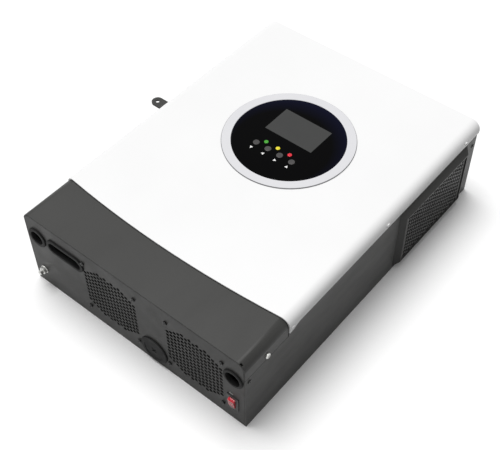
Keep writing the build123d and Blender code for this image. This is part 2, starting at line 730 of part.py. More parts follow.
def display_bezel():
    top = COVER_TOP + BEZEL_RISE
    seat_low = LENS_LOW - LENS_SEAT_T
    seat_r = LENS_R + SEAM
    profile = Polygon(
        (seat_r - LENS_SEAT_W, seat_low),
        (BEZEL_COLLAR_R - BEZEL_COLLAR_T, seat_low),
        (BEZEL_COLLAR_R - BEZEL_COLLAR_T, COVER_TOP - BEZEL_COLLAR_DEPTH),
        (BEZEL_COLLAR_R, COVER_TOP - BEZEL_COLLAR_DEPTH),
        (BEZEL_COLLAR_R, COVER_TOP),
        (BEZEL_R, COVER_TOP),
        (BEZEL_R, top - BEZEL_BEVEL),
        (BEZEL_R - BEZEL_BEVEL, top),
        (seat_r + BEZEL_BEVEL, top),
        (seat_r, top - BEZEL_BEVEL),
        (seat_r, LENS_LOW),
        (seat_r - LENS_SEAT_W, LENS_LOW),
        align=None,
    )
    return Pos(0, PANEL_Y, 0) * revolve(Plane.XZ * profile, Axis.Z)


def display_lens():
    lens = drum(LENS_R, LENS_LOW, LENS_TOP)
    lens -= Pos(0, LCD_OFFSET, (LENS_LOW + LENS_TOP) / 2) * Box(*LCD_SIZE, 2 * LENS_T)
    for x in LED_XS:
        lens -= Pos(x, LED_OFFSET, 0) * drum(LED_R + HOLE_GAP, LENS_LOW - 1, LENS_TOP + 1)
    for x in BUTTON_XS:
        lens -= Pos(x, BUTTON_OFFSET, 0) * drum(BUTTON_R + BUTTON_GAP, LENS_LOW - 1, LENS_TOP + 1)
    return Pos(0, PANEL_Y, 0) * lens


def lcd_module():
    glass = (LCD_SIZE[0] - 2 * SEAM, LCD_SIZE[1] - 2 * SEAM)
    body_top = LENS_LOW - 0.1
    module = Pos(0, 0, (CONTROL_TOP + body_top) / 2) * Box(*LCD_BODY, body_top - CONTROL_TOP)
    face_top = LENS_TOP - 0.3
    module += Pos(0, 0, (body_top + face_top) / 2 - 0.5) * Box(*glass, face_top - body_top + 1)
    return Pos(0, PANEL_Y + LCD_OFFSET, 0) * module


def led(x):
    lamp = drum(LED_R, CONTROL_TOP, LENS_TOP + LED_RISE)
    lamp = fillet(lamp.edges().group_by(Axis.Z)[-1], LED_RISE)
    return Pos(x, PANEL_Y + LED_OFFSET, 0) * lamp


def button(x):
    """Push button kept under the lens by its flange, with a stem over its switch."""
    flange_top = LENS_LOW - SEAM
    flange_low = flange_top - 1
    top = LENS_TOP + BUTTON_RISE
    cap = drum(BUTTON_R, flange_low, top)
    cap = fillet(cap.edges().group_by(Axis.Z)[-1], 0.5)
    cap += drum(BUTTON_R + BUTTON_FLANGE, flange_low, flange_top)
    cap += drum(BUTTON_R / 2, CONTROL_TOP + TACT_H + BUTTON_TRAVEL + SEAM, flange_low)
    return Pos(x, PANEL_Y + BUTTON_OFFSET, 0) * cap


def control_posts():
    half = CONTROL_BOARD / 2 - POST_INSET
    return corners(half, half)


def control_board():
    half = CONTROL_BOARD / 2
    board = block((-half, half), (-half, half), (CONTROL_LOW, CONTROL_TOP))
    half_tact = TACT_SIZE / 2
    tact_y = (BUTTON_OFFSET - half_tact, BUTTON_OFFSET + half_tact)
    for x in BUTTON_XS:
        board += block((x - half_tact, x + half_tact), tact_y, (CONTROL_LOW + 1, CONTROL_TOP + TACT_H))
    for x, y in control_posts():
        board -= Pos(x, y, 0) * drum(SMALL_SCREW_R + HOLE_GAP, CONTROL_LOW - 1, CONTROL_TOP + 1)
    return Pos(0, PANEL_Y, 0) * board


def control_board_posts():
    """Studs welded under the front cover, each with a nut under the board."""
    posts = []
    for x, y in control_posts():
        post = drum(POST_R, CONTROL_TOP, COVER_UNDER) + drum(SMALL_SCREW_R, CONTROL_LOW - 3, CONTROL_TOP)
        nut = extrude_z(RegularPolygon(POST_R, 6, major_radius=False), CONTROL_LOW - 2.4, CONTROL_LOW)
        nut -= drum(SMALL_SCREW_R + THREAD_GAP, CONTROL_LOW - 4, CONTROL_TOP)
        posts += [Pos(x, PANEL_Y + y, 0) * post, Pos(x, PANEL_Y + y, 0) * nut]
    return posts


def on_vent(side):
    """Frame at the middle of a side vent: local X along the unit, local Y up."""
    centre = (side * SIDE, along(VENT_START + VENT_LENGTH / 2), VENT_LOW + VENT_HEIGHT / 2)
    return Plane(origin=centre, x_dir=(0, side, 0), z_dir=(side, 0, 0))


def vent_frame(side):
    """Raised dust cover with mitred bevels, a window and four clips."""
    outer = extrude(Rectangle(VENT_LENGTH, VENT_HEIGHT), VENT_RISE, taper=45)
    inner_rise = VENT_RISE - VENT_T
    inner = extrude(Rectangle(VENT_LENGTH - 2 * VENT_T, VENT_HEIGHT - 2 * VENT_T), inner_rise, taper=45)
    face = (VENT_LENGTH - 2 * VENT_RISE, VENT_HEIGHT - 2 * VENT_RISE)
    frame = outer - inner - Box(face[0] - 2 * VENT_RIM, face[1] - 2 * VENT_RIM, 4 * VENT_RISE)
    window_y, window_z = side_window()
    clip_y = (window_z[1] - window_z[0]) / 2 - CLIP_T / 2 - SEAM
    clip_x = (window_y[1] - window_y[0]) / 4
    clip = block((-CLIP_W / 2, CLIP_W / 2), (-CLIP_T / 2, CLIP_T / 2), (-CLIP_REACH, CLIP_ROOT))
    for x, y in corners(clip_x, clip_y):
        frame += Pos(x, y, 0) * clip
    return on_vent(side) * frame


def vent_mesh(side):
    mesh_high = VENT_RISE - VENT_T - 0.05
    size = (VENT_LENGTH - 2 * VENT_RISE, VENT_HEIGHT - 2 * VENT_RISE)
    columns = int((size[0] / 2 - VENT_RIM - HEX_FLATS / 2) / (HEX_PITCH * math.sqrt(3) / 2))
    rows = int((size[1] - 2 * VENT_RIM - HEX_FLATS) / HEX_PITCH)
    sheet = Rectangle(*size) - hex_field(columns, lambda i: rows + (i % 2))
    return on_vent(side) * extrude_z(sheet, mesh_high - MESH_T, mesh_high)


def dust_filter(side):
    high = VENT_RISE - VENT_T - MESH_T - 0.15
    size = (VENT_LENGTH - 2 * VENT_RISE, VENT_HEIGHT - 2 * VENT_RISE - 6)
    return on_vent(side) * extrude_z(RectangleRounded(*size, 2), high - FILTER_T, high)


def side_lug():
    """Eyed lug bent out from a leg riveted to the left wall."""
    y = along(LUG_FROM_END)
    reach = -SIDE - LUG_REACH
    eye_x = reach + LUG_R
    lug = block((eye_x, -SIDE), (y - LUG_R, y + LUG_R), (LUG_Z, LUG_Z + LUG_T))
    lug += Pos(eye_x, y, 0) * drum(LUG_R, LUG_Z, LUG_Z + LUG_T)
    lug -= Pos(eye_x, y, 0) * drum(LUG_HOLE_R, LUG_Z - 1, LUG_Z + LUG_T + 1)
    lug += block((-SIDE - LUG_T, -SIDE), (y - LUG_R, y + LUG_R), (LUG_Z - LUG_LEG, LUG_Z + LUG_T))
    rivet = drum(LUG_HOLE_R - HOLE_GAP, -WALL_T - 1.5, LUG_T + 0.5) + drum(LUG_HOLE_R + 1, LUG_T, LUG_T + 1.2)
    return lug + on_side(-1, y, LUG_Z - LUG_LEG / 2) * rivet


def header_xs():
    return (HEATSINK_LEFT[0] + HEADER_LEFT_INSET, HEATSINK_RIGHT[0] + HEADER_RIGHT_INSET)


def main_board():
    y = (along(BOARD_START), FAR - BOARD_END_GAP)
    board = block((-BOARD_HALF_X, BOARD_HALF_X), y, (BOARD_Z, BOARD_TOP))
    for x, y in STANDOFF_PLACES:
        board -= Pos(x, y, 0) * drum(SMALL_SCREW_R + HOLE_GAP, BOARD_Z - 1, BOARD_TOP + 1)
    half = HEADER_SIZE / 2
    header_y = (along(HEADER_START), along(HEADER_START + HEADER_SIZE))
    for x in header_xs():
        board += block((x - half, x + half), header_y, (BOARD_TOP - BOARD_T / 2, BOARD_TOP + HEADER_SIZE))
    return board


def board_standoffs():
    pillar = drum(STANDOFF_R, WALL_T, BOARD_Z) - drum(SMALL_SCREW_R + THREAD_GAP, WALL_T + 1, BOARD_Z + 1)
    return [Pos(x, y, 0) * pillar for x, y in STANDOFF_PLACES]


def board_screws():
    fastener = screw(SMALL_SCREW_R, SMALL_HEAD_R, SMALL_HEAD_H, SCREW_REACH)
    return [Pos(x, y, BOARD_TOP) * fastener for x, y in STANDOFF_PLACES]


def heatsink(xs):
    y = (along(HEATSINK_START), along(HEATSINK_START + HEATSINK_LENGTH))
    sink = block(xs, y, (BOARD_TOP, BOARD_TOP + HEATSINK_BASE))
    step = (xs[1] - xs[0] - FIN_T) / (FIN_COUNT - 1)
    for i in range(FIN_COUNT):
        x = xs[0] + i * step
        sink += block((x, x + FIN_T), y, (BOARD_TOP + 1, BOARD_TOP + HEATSINK_HEIGHT))
    return sink


def power_transistors():
    packages = []
    for xs in (HEATSINK_LEFT, HEATSINK_RIGHT):
        step = (HEATSINK_LENGTH - TRANSISTOR_W) / (TRANSISTOR_COUNT - 1)
        for i in range(TRANSISTOR_COUNT):
            y = along(HEATSINK_START + i * step)
            x = (xs[0] - SEAM - TRANSISTOR_T, xs[0] - SEAM)
            low = BOARD_TOP + TRANSISTOR_LEG
            package = block(x, (y, y + TRANSISTOR_W), (low, low + TRANSISTOR_H))
            for k in (0.2, 0.5, 0.8):
                leg_y = y + k * TRANSISTOR_W
                package += block((x[0] + 2, x[0] + 3), (leg_y - 0.6, leg_y + 0.6), (BOARD_TOP, low + 1))
            packages.append(package)
    return packages


def toroid_ring():
    core = tube(TOROID_R, TOROID_BORE_R, BOARD_TOP, BOARD_TOP + TOROID_H)
    return fillet(core.edges().filter_by(GeomType.CIRCLE), TOROID_ROUND)


def filter_inductors():
    y = FAR - BOARD_END_GAP - TOROID_R - TOROID_CLEAR
    return [Pos(x, y, 0) * toroid_ring() for x in TOROID_XS]


def transformer_core():
    """Shell-type core: a middle limb between two windows."""
    half_x, half_y = CORE_HALF
    core = block((-half_x, half_x), (-half_y, half_y), (BOARD_TOP, BOARD_TOP + CORE_HEIGHT))
    heights = (BOARD_TOP + CORE_YOKE, BOARD_TOP + CORE_HEIGHT - CORE_YOKE)
    for sign in (-1, 1):
        window = sorted((sign * CORE_LIMB_HALF, sign * (CORE_LIMB_HALF + CORE_WINDOW)))
        core -= block(window, (-half_y - 1, half_y + 1), heights)
    return Pos(TRANSFORMER_X, along(TRANSFORMER_FROM_END), 0) * core


def transformer_winding():
    low = BOARD_TOP + CORE_YOKE + WINDING_GAP
    high = BOARD_TOP + CORE_HEIGHT - CORE_YOKE - WINDING_GAP
    coil = extrude_z(RectangleRounded(*WINDING_SIZE, WINDING_ROUND), low, high)
    limb = Rectangle(2 * (CORE_LIMB_HALF + WINDING_GAP), 2 * (CORE_HALF[1] + WINDING_GAP))
    coil -= extrude_z(limb, low - 1, high + 1)
    return Pos(TRANSFORMER_X, along(TRANSFORMER_FROM_END), 0) * coil


def bus_capacitors():
    can = drum(CAPACITOR_R, BOARD_TOP, BOARD_TOP + CAPACITOR_H)
    can = fillet(can.edges().group_by(Axis.Z)[-1], 1.5)
    columns, rows = CAPACITOR_GRID
    first_y = along(CAPACITOR_FROM_END)
    return [
        Pos(CAPACITOR_X + i * CAPACITOR_PITCH, first_y + j * CAPACITOR_PITCH, 0) * can
        for i in range(columns)
        for j in range(rows)
    ]


def relays():
    starts = [along(RELAY_START + k * RELAY_PITCH) for k in range(RELAY_COUNT)]
    return [block(RELAY_XS, (y, y + RELAY_LENGTH), (BOARD_TOP, BOARD_TOP + RELAY_H)) for y in starts]


def terminal_block(xs, ways, height):
    """Screw terminals: wire holes face the terminal end, screw wells open upwards."""
    start = along(BLOCK_START)
    body = block(xs, (start, start + BLOCK_DEPTH), (BOARD_TOP, BOARD_TOP + height))
    step = (xs[1] - xs[0]) / ways
    wire_y = (start - 1, start + BLOCK_WIRE_DEPTH)
    wire_z = (BOARD_TOP + BLOCK_WIRE_LOW, BOARD_TOP + BLOCK_WIRE_HIGH)
    for i in range(ways):
        x = xs[0] + (i + 0.5) * step
        body -= block((x - step * 0.32, x + step * 0.32), wire_y, wire_z)
        well = drum(step * 0.3, BOARD_TOP + BLOCK_WELL_LOW, BOARD_TOP + height + 1)
        body -= Pos(x, start + BLOCK_DEPTH / 2 - 1, 0) * well
    return body


def battery_busbars():
    """Two flat bars, each with the stud that a battery cable bolts to."""
    half = BUSBAR_WIDTH / 2
    bar = block((-half, half), (0, BUSBAR_LENGTH), (BOARD_TOP, BOARD_TOP + BUSBAR_T))
    stud = drum(BUSBAR_STUD_R, BOARD_TOP + BUSBAR_T / 2, BOARD_TOP + BUSBAR_STUD_H)
    bar += Pos(0, BUSBAR_STUD_INSET, 0) * stud
    return [Pos(x, along(BUSBAR_START), 0) * bar for x in BUSBAR_XS]


def battery_fuses():
    half = FUSE_WIDTH / 2
    fuse = block((-half, half), (0, FUSE_LENGTH), (BOARD_TOP, BOARD_TOP + FUSE_H))
    return [Pos(x, along(FUSE_START), 0) * fuse for x in FUSE_XS]


def comm_sockets():
    """Two shielded data sockets, open towards the terminal end."""
    half = SOCKET_WIDTH / 2
    shell = block((-half, half), (0, SOCKET_DEPTH), (BOARD_TOP, BOARD_TOP + SOCKET_H))
    mouth_z = (BOARD_TOP + SOCKET_FLOOR, BOARD_TOP + SOCKET_H - SOCKET_ROOF)
    shell -= block((SOCKET_WALL - half, half - SOCKET_WALL), (-1, SOCKET_DEPTH - SOCKET_BACK), mouth_z)
    return [Pos(x, along(SOCKET_START), 0) * shell for x in SOCKET_XS]


def ribbon_cable():
    """Flat cable from the main board up to the control board."""
    x, y = RIBBON_X, along(RIBBON_FROM_END)
    low, high = RIBBON_STEP_Z
    far_y = y + RIBBON_STEP
    points = ((x, y, BOARD_TOP), (x, y, low), (x, far_y, high), (x, far_y, CONTROL_LOW))
    section = Plane(origin=points[0], z_dir=(0, 0, 1)) * Rectangle(*RIBBON_SIZE)
    return sweep(section, path=FilletPolyline(*points, radius=RIBBON_BEND_R))


def fan_leads():
    """One lead from the back of each fan down to its header on the main board."""
    start = along(FAN_FACE + FAN_DEPTH + HOLE_GAP)
    end = along(HEADER_START - HOLE_GAP)
    bend, drop = (along(distance) for distance in LEAD_DROP)
    low = BOARD_TOP + LEAD_ABOVE_BOARD
    leads = []
    for x in header_xs():
        points = ((x, start, LEAD_Z), (x, bend, LEAD_Z), (x, drop, low), (x, end, low))
        section = Plane(origin=points[0], z_dir=(0, 1, 0)) * Circle(LEAD_R)
        leads.append(sweep(section, path=FilletPolyline(*points, radius=LEAD_BEND_R)))
    return leads


def nodes():
    """Every named sub-part, as a solid or a list of separate solids."""
    parts = {
        "chassis_tray": chassis_tray(),
        "terminal_end_panel": terminal_end_panel(),
        "far_end_panel": far_end_panel(),
        "cover_rail": cover_rail(),
        "front_cover": front_cover(),
        "terminal_cover": terminal_cover(),
        "side_lug": side_lug(),
        "display_bezel": display_bezel(),
        "display_lens": display_lens(),
        "lcd_module": lcd_module(),
        "control_board": control_board(),
        "control_board_posts": control_board_posts(),
        "grommet_left": round_grommet(GROMMET_LEFT, GROMMET_LEFT_R, GROMMET_LEFT_BORE_R),
        "grommet_slot": grommet_slot(),
        "grommet_battery": grommet_battery(),
        "grommet_right": round_grommet(GROMMET_RIGHT, GROMMET_RIGHT_R, GROMMET_RIGHT_BORE_R),
        "switch_housing": switch_housing(),
        "switch_rocker": switch_rocker(),
        "earth_stud": earth_stud(),
        "earth_nut": earth_nut(),
        "front_cover_screws": front_cover_screws(),
        "terminal_cover_screws": terminal_cover_screws(),
        "panel_screws": panel_screws(),
        "fan_screws": fan_screws(),
        "main_board": main_board(),
        "board_standoffs": board_standoffs(),
        "board_screws": board_screws(),
        "heatsink_left": heatsink(HEATSINK_LEFT),
        "heatsink_right": heatsink(HEATSINK_RIGHT),
        "power_transistors": power_transistors(),
        "filter_inductors": filter_inductors(),
        "transformer_core": transformer_core(),
        "transformer_winding": transformer_winding(),
        "bus_capacitors": bus_capacitors(),
        "relays": relays(),
        "ac_terminal_block": terminal_block(AC_BLOCK_XS, AC_BLOCK_WAYS, AC_BLOCK_H),
        "pv_terminal_block": terminal_block(PV_BLOCK_XS, PV_BLOCK_WAYS, PV_BLOCK_H),
        "battery_busbars": battery_busbars(),
        "battery_fuses": battery_fuses(),
        "comm_sockets": comm_sockets(),
        "ribbon_cable": ribbon_cable(),
        "fan_leads": fan_leads(),
    }
    for name, side in (("right", 1), ("left", -1)):
        parts[f"vent_frame_{name}"] = vent_frame(side)
        parts[f"vent_mesh_{name}"] = vent_mesh(side)
        parts[f"dust_filter_{name}"] = dust_filter(side)
    for name, centre in (("left", FAN_LEFT), ("right", FAN_RIGHT)):
        parts[f"fan_frame_{name}"] = fan_frame(centre)
        parts[f"fan_rotor_{name}"] = fan_rotor(centre)
    for name, x in zip(("green", "amber", "red"), LED_XS):
        parts[f"led_{name}"] = led(x)
    for number, x in enumerate(BUTTON_XS, 1):
        parts[f"button_{number}"] = button(x)
    return parts


def solids_of(part):
    pieces = part if isinstance(part, list) else [part]
    return [solid for piece in pieces for solid in piece.solids()]


def main():
    os.makedirs("parts", exist_ok=True)
    for name, part in nodes().items():
        solids = solids_of(part)
        shape = solids[0] if len(solids) == 1 else Compound(children=solids)
        export_step(shape, f"parts/{name}.step")
        print(name, len(solids), "solids", round(sum(s.volume for s in solids)), "mm3")


main()
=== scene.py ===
import math

import bmesh
import bpy
from bpy.props import FloatProperty, FloatVectorProperty, PointerProperty
from mathutils import Matrix, Vector


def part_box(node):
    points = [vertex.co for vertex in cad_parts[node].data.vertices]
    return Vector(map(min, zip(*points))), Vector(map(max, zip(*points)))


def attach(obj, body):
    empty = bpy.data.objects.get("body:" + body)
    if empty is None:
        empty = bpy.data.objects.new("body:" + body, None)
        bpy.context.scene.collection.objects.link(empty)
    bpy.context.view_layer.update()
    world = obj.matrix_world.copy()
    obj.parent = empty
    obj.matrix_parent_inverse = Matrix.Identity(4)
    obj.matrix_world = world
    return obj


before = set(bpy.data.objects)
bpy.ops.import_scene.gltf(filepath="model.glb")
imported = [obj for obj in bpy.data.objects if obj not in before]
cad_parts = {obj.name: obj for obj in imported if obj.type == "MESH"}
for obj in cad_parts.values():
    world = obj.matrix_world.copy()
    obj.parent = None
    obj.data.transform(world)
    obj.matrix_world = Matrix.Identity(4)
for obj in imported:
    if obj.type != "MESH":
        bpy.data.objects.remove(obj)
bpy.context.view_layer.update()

bl_info = {
    "name": "Wall-mount inverter finishes",
    "version": (1, 0, 0),
    "blender": (4, 5, 0),
    "location": "3D View > Sidebar > Inverter",
    "description": "Dresses a wall-mount inverter in its paints, plastics, rubber, metals and control marks",
    "category": "Object",
}

MM = 0.001
KEY_PLACE = (-0.5, 0.1, 1.8)
KEY_SPREAD = 40
FLOOR_HALF = 6
PAPER_WHITE = (1, 1, 1, 1)
INK_THICKNESS = 0.04 * MM
ARROW_SIZE = 2.2 * MM
ARROW_DROP = 4.4 * MM
WORD_SHIFT = 2 * MM
WORD_THICKNESS = 0.03 * MM
WORD_STAND = 0.9
# Widths and colour of the painted highlight ring and the painted shade line on the bezel.
RING_HIGHLIGHT_WIDTH = 0.9 * MM
RING_SHADE_WIDTH = 0.6 * MM
RING_SHADE_LINE = (0.2, 0.2, 0.21, 1)
WELD = 0.002 * MM

HOUSING = ("chassis_tray", "terminal_cover", "far_end_panel", "terminal_end_panel", "cover_rail", "side_lug")
GROMMETS = ("grommet_left", "grommet_slot", "grommet_battery", "grommet_right")
VENT_SHEETS = ("vent_frame_left", "vent_frame_right", "vent_mesh_left", "vent_mesh_right")
FILTERS = ("dust_filter_left", "dust_filter_right")
FAN_PLASTIC = ("fan_frame_left", "fan_frame_right", "fan_rotor_left", "fan_rotor_right")
BUTTONS = ("button_1", "button_2", "button_3", "button_4")
DARK_SCREWS = ("panel_screws", "fan_screws")
ZINC_SCREWS = ("terminal_cover_screws", "board_screws", "board_standoffs", "control_board_posts")
COPPER = ("battery_busbars", "transformer_winding", "filter_inductors")
LED_COLOURS = {
    "led_green": (0.05, 0.36, 0.02, 1),
    "led_amber": (0.9, 0.72, 0.02, 1),
    "led_red": (0.85, 0.008, 0.03, 1),
}


# ---------------------------------------------------------------- node helpers


class Shader:
    """A principled material whose patterns read Object coordinates."""

    def __init__(self, name, **inputs):
        self.material = bpy.data.materials.new(name)
        self.material.use_nodes = True
        self.tree = self.material.node_tree
        self.tree.nodes.clear()
        self.surface = self.add("ShaderNodeBsdfPrincipled")
        output = self.add("ShaderNodeOutputMaterial")
        self.link(self.surface.outputs["BSDF"], output.inputs["Surface"])
        for key, value in inputs.items():
            self.surface.inputs[key.replace("_", " ").title().replace("Ior", "IOR")].default_value = value
        self.place = self.add("ShaderNodeTexCoord").outputs["Object"]
        self.height = None

    def add(self, kind, **settings):
        node = self.tree.nodes.new(kind)
        for key, value in settings.items():
            setattr(node, key, value)
        return node

    def link(self, source, target):
        self.tree.links.new(source, target)

    def mapped(self, scale=(1, 1, 1), offset=(0, 0, 0), turn=(0, 0, 0)):
        node = self.add("ShaderNodeMapping")
        node.inputs["Scale"].default_value = scale
        node.inputs["Location"].default_value = offset
        node.inputs["Rotation"].default_value = turn
        self.link(self.place, node.inputs["Vector"])
        return node.outputs["Vector"]

    def noise(self, scale, detail=3.0, roughness=0.5, vector=None):
        node = self.add("ShaderNodeTexNoise")
        node.inputs["Scale"].default_value = scale
        node.inputs["Detail"].default_value = detail
        node.inputs["Roughness"].default_value = roughness
        self.link(vector or self.place, node.inputs["Vector"])
        return node.outputs["Fac"]

    def cells(self, scale, feature="F1", vector=None):
        node = self.add("ShaderNodeTexVoronoi", feature=feature)
        node.inputs["Scale"].default_value = scale
        self.link(vector or self.place, node.inputs["Vector"])
        return node.outputs["Distance"]

    def math(self, operation, first, second):
        node = self.add("ShaderNodeMath", operation=operation)
        for socket, value in zip(node.inputs, (first, second)):
            if isinstance(value, (int, float)):
                socket.default_value = value
            else:
                self.link(value, socket)
        return node.outputs["Value"]

    def remap(self, value, low, high, start=0.3, end=0.7):
        node = self.add("ShaderNodeMapRange")
        node.inputs["From Min"].default_value = start
        node.inputs["From Max"].default_value = end
        node.inputs["To Min"].default_value = low
        node.inputs["To Max"].default_value = high
        self.link(value, node.inputs["Value"])
        return node.outputs["Result"]

    def ramp(self, value, stops, interpolation="LINEAR"):
        node = self.add("ShaderNodeValToRGB")
        node.color_ramp.interpolation = interpolation
        elements = node.color_ramp.elements
        while len(elements) < len(stops):
            elements.new(0.5)
        for element, (position, colour) in zip(elements, stops):
            element.position = position
            element.color = colour
        self.link(value, node.inputs["Fac"])
        return node.outputs["Color"]

    def mix(self, factor, first, second, blend="MIX"):
        node = self.add("ShaderNodeMix", data_type="RGBA", blend_type=blend)
        self.link(factor, node.inputs["Factor"])
        for socket, value in ((node.inputs[6], first), (node.inputs[7], second)):
            if isinstance(value, tuple):
                socket.default_value = value
            else:
                self.link(value, socket)
        return node.outputs[2]

    def colour(self, output):
        self.link(output, self.surface.inputs["Base Color"])

    def roughness(self, output):
        self.link(output, self.surface.inputs["Roughness"])

    def bump(self, output, strength, distance):
        node = self.add("ShaderNodeBump")
        node.inputs["Strength"].default_value = strength
        node.inputs["Distance"].default_value = distance
        self.link(output, node.inputs["Height"])
        if self.height is not None:
            self.link(self.height, node.inputs["Normal"])
        self.height = node.outputs["Normal"]
        self.link(self.height, self.surface.inputs["Normal"])


def shade(colour, factor):
    """The same colour, lighter or darker."""
    return tuple(min(1.0, channel * factor) for channel in colour[:3]) + (1.0,)


# ---------------------------------------------------------------- finishes


def powder_coat(name, colour):
    """Satin powder coat: fine orange peel, pale pigment specks and soft handling marks."""
    coat = Shader(name, specular_ior_level=0.22)
    broad = coat.noise(9, 4)
    specks = coat.remap(coat.noise(2600, 1), 0, 1, 0.62, 0.72)
    tinted = coat.ramp(broad, [(0.3, shade(colour, 0.92)), (0.7, shade(colour, 1.08))])
    coat.colour(coat.mix(specks, tinted, shade(colour, 1.55)))
    rub = coat.noise(30, 5, 0.6, coat.mapped((1, 0.35, 1)))
    coat.roughness(coat.remap(rub, 0.36, 0.5))
    coat.bump(coat.noise(1500, 2), 0.12, 0.00008)
    coat.bump(coat.noise(420, 2), 0.08, 0.00015)
    return coat.material


def smooth_enamel(name, colour):
    """Pale satin enamel with a faint orange peel and slightly uneven gloss."""
    enamel = Shader(name, specular_ior_level=0.3)
    enamel.colour(enamel.ramp(enamel.noise(6, 3), [(0.3, shade(colour, 0.985)), (0.7, shade(colour, 1.01))]))
    enamel.roughness(enamel.remap(enamel.noise(22, 4), 0.3, 0.4))
    enamel.bump(enamel.noise(520, 2), 0.05, 0.0001)
    return enamel.material


def moulded_rubber(name):
    """Matt black rubber with a dusty bloom and a pebbled skin."""
    rubber = Shader(name, specular_ior_level=0.2)
    bloom = rubber.noise(140, 5, 0.65)
    rubber.colour(rubber.ramp(bloom, [(0.35, (0.006, 0.006, 0.006, 1)), (0.75, (0.018, 0.018, 0.018, 1))]))
    rubber.roughness(rubber.remap(bloom, 0.55, 0.78))
    rubber.bump(rubber.cells(1800), 0.25, 0.0001)
    return rubber.material


def moulded_plastic(name, colour, low=0.35, high=0.5, grain=2200):
    """Moulded plastic with fine spark-eroded grain and small gloss changes."""
    plastic = Shader(name, specular_ior_level=0.45)
    cloud = plastic.noise(60, 4)
    plastic.colour(plastic.ramp(cloud, [(0.3, shade(colour, 0.9)), (0.7, shade(colour, 1.1))]))
    plastic.roughness(plastic.remap(plastic.noise(180, 3), low, high))
    plastic.bump(plastic.noise(grain, 2), 0.18, 0.00005)
    return plastic.material


def plated_zinc(name, colour=(0.62, 0.62, 0.6, 1)):
    """Bright zinc plate: cloudy passivation with fine turning marks."""
    zinc = Shader(name, metallic=1.0)
    cloud = zinc.noise(420, 4, 0.6)
    zinc.colour(zinc.ramp(cloud, [(0.3, shade(colour, 0.8)), (0.5, colour), (0.75, shade(colour, 1.15))]))
    zinc.roughness(zinc.remap(zinc.noise(900, 3), 0.2, 0.38))
    zinc.bump(zinc.noise(2500, 2, 0.5, zinc.mapped((0.15, 1, 1))), 0.15, 0.00004)
    return zinc.material


def rings_about_panel(shader, centre):
    """Distance from the control panel's axis, in metres."""
    split = shader.add("ShaderNodeSeparateXYZ")
    shader.link(shader.mapped(offset=(-centre.x, -centre.y, 0)), split.inputs["Vector"])
    squares = [shader.math("MULTIPLY", split.outputs[i], split.outputs[i]) for i in (0, 1)]
    return shader.math("SQRT", shader.math("ADD", *squares), 0.0)


def ring_plastic(name, centre, outer, inner, band):
    """Bezel finish: a satin grey band between a painted highlight ring along the inner edge and a fine
    painted shade line along the outer edge.
    """
    ring = Shader(name, specular_ior_level=0.35)
    radius = rings_about_panel(ring, centre)
    share = ring.remap(radius, 0, 1, inner, outer)
    span = outer - inner
    # Painted highlight: a lighter copy of the band along the inner edge. Painted shade: a dark line along
    # the outer edge.
    stops = [
        (0.0, shade(band, 1.2)),
        (RING_HIGHLIGHT_WIDTH / span, band),
        (1 - RING_SHADE_WIDTH / span, RING_SHADE_LINE),
    ]
    base = ring.ramp(share, stops, "CONSTANT")
    cloud = ring.noise(35, 4)
    ring.colour(ring.mix(ring.remap(cloud, 0.0, 0.08), base, (0.5, 0.5, 0.52, 1)))
    brushed = ring.noise(900, 2, 0.5, ring.mapped((1, 1, 0.1)))
    ring.roughness(ring.remap(brushed, 0.26, 0.38))
    ring.bump(brushed, 0.06, 0.00004)
    return ring.material


def glossy_lens(name, centre, radius):
    """Black acrylic panel, with a faint blue-violet painted reflection in a crescent towards its far edge.
    """
    lens = Shader(name, specular_ior_level=0.03, roughness=0.08)
    # Painted reflection: a faint blue-violet tint that grows towards the lens's far edge.
    shifted = Vector((centre.x, centre.y - 0.2 * radius, 0))
    far = lens.remap(rings_about_panel(lens, shifted), 0, 1, 0.85 * radius, 1.15 * radius)
    painted_reflection = lens.ramp(far, [(0.0, (0.0008, 0.0008, 0.001, 1)), (1.0, (0.003, 0.0035, 0.014, 1))])
    dust = lens.remap(lens.noise(3200, 1), 0, 1, 0.7, 0.76)
    lens.colour(lens.mix(dust, painted_reflection, (0.004, 0.004, 0.005, 1)))
    lens.roughness(lens.remap(lens.noise(26, 5, 0.6), 0.05, 0.12))
    return lens.material


def display_glass(name):
    """Unlit display: grey polariser with faint horizontal segment rows under glass."""
    glass = Shader(name, specular_ior_level=0.12)
    rows = glass.add("ShaderNodeTexWave", wave_type="BANDS", bands_direction="Y")
    rows.inputs["Scale"].default_value = 260
    rows.inputs["Distortion"].default_value = 0
    glass.link(glass.place, rows.inputs["Vector"])
    stops = [(0.0, (0.048, 0.049, 0.049, 1)), (1.0, (0.052, 0.053, 0.052, 1))]
    lines = glass.ramp(rows.outputs["Fac"], stops)
    cloud = glass.remap(glass.noise(40, 3), 0, 0.35)
    glass.colour(glass.mix(cloud, lines, (0.056, 0.056, 0.055, 1)))
    glass.roughness(glass.remap(glass.noise(120, 3), 0.18, 0.26))
    return glass.material


def lamp_lens(name, colour):
    """Tinted lamp lens, slightly uneven in colour."""
    lens = Shader(name, specular_ior_level=0.4, subsurface_weight=0.15)
    lens.colour(lens.ramp(lens.noise(700, 2), [(0.3, shade(colour, 0.85)), (0.7, shade(colour, 1.1))]))
    lens.roughness(lens.remap(lens.noise(900, 2), 0.12, 0.22))
    return lens.material


def filter_foam(name):
    """Open-cell dust filter, with painted shade in its pores."""
    foam = Shader(name, specular_ior_level=0.15)
    pores = foam.cells(900)
    # Painted shade: each pore is darker towards its middle.
    foam.colour(foam.ramp(pores, [(0.05, (0.001, 0.001, 0.0015, 1)), (0.5, (0.008, 0.008, 0.01, 1))]))
    foam.roughness(foam.remap(foam.noise(300), 0.8, 0.95))
    foam.bump(pores, 0.8, 0.0004)
    return foam.material


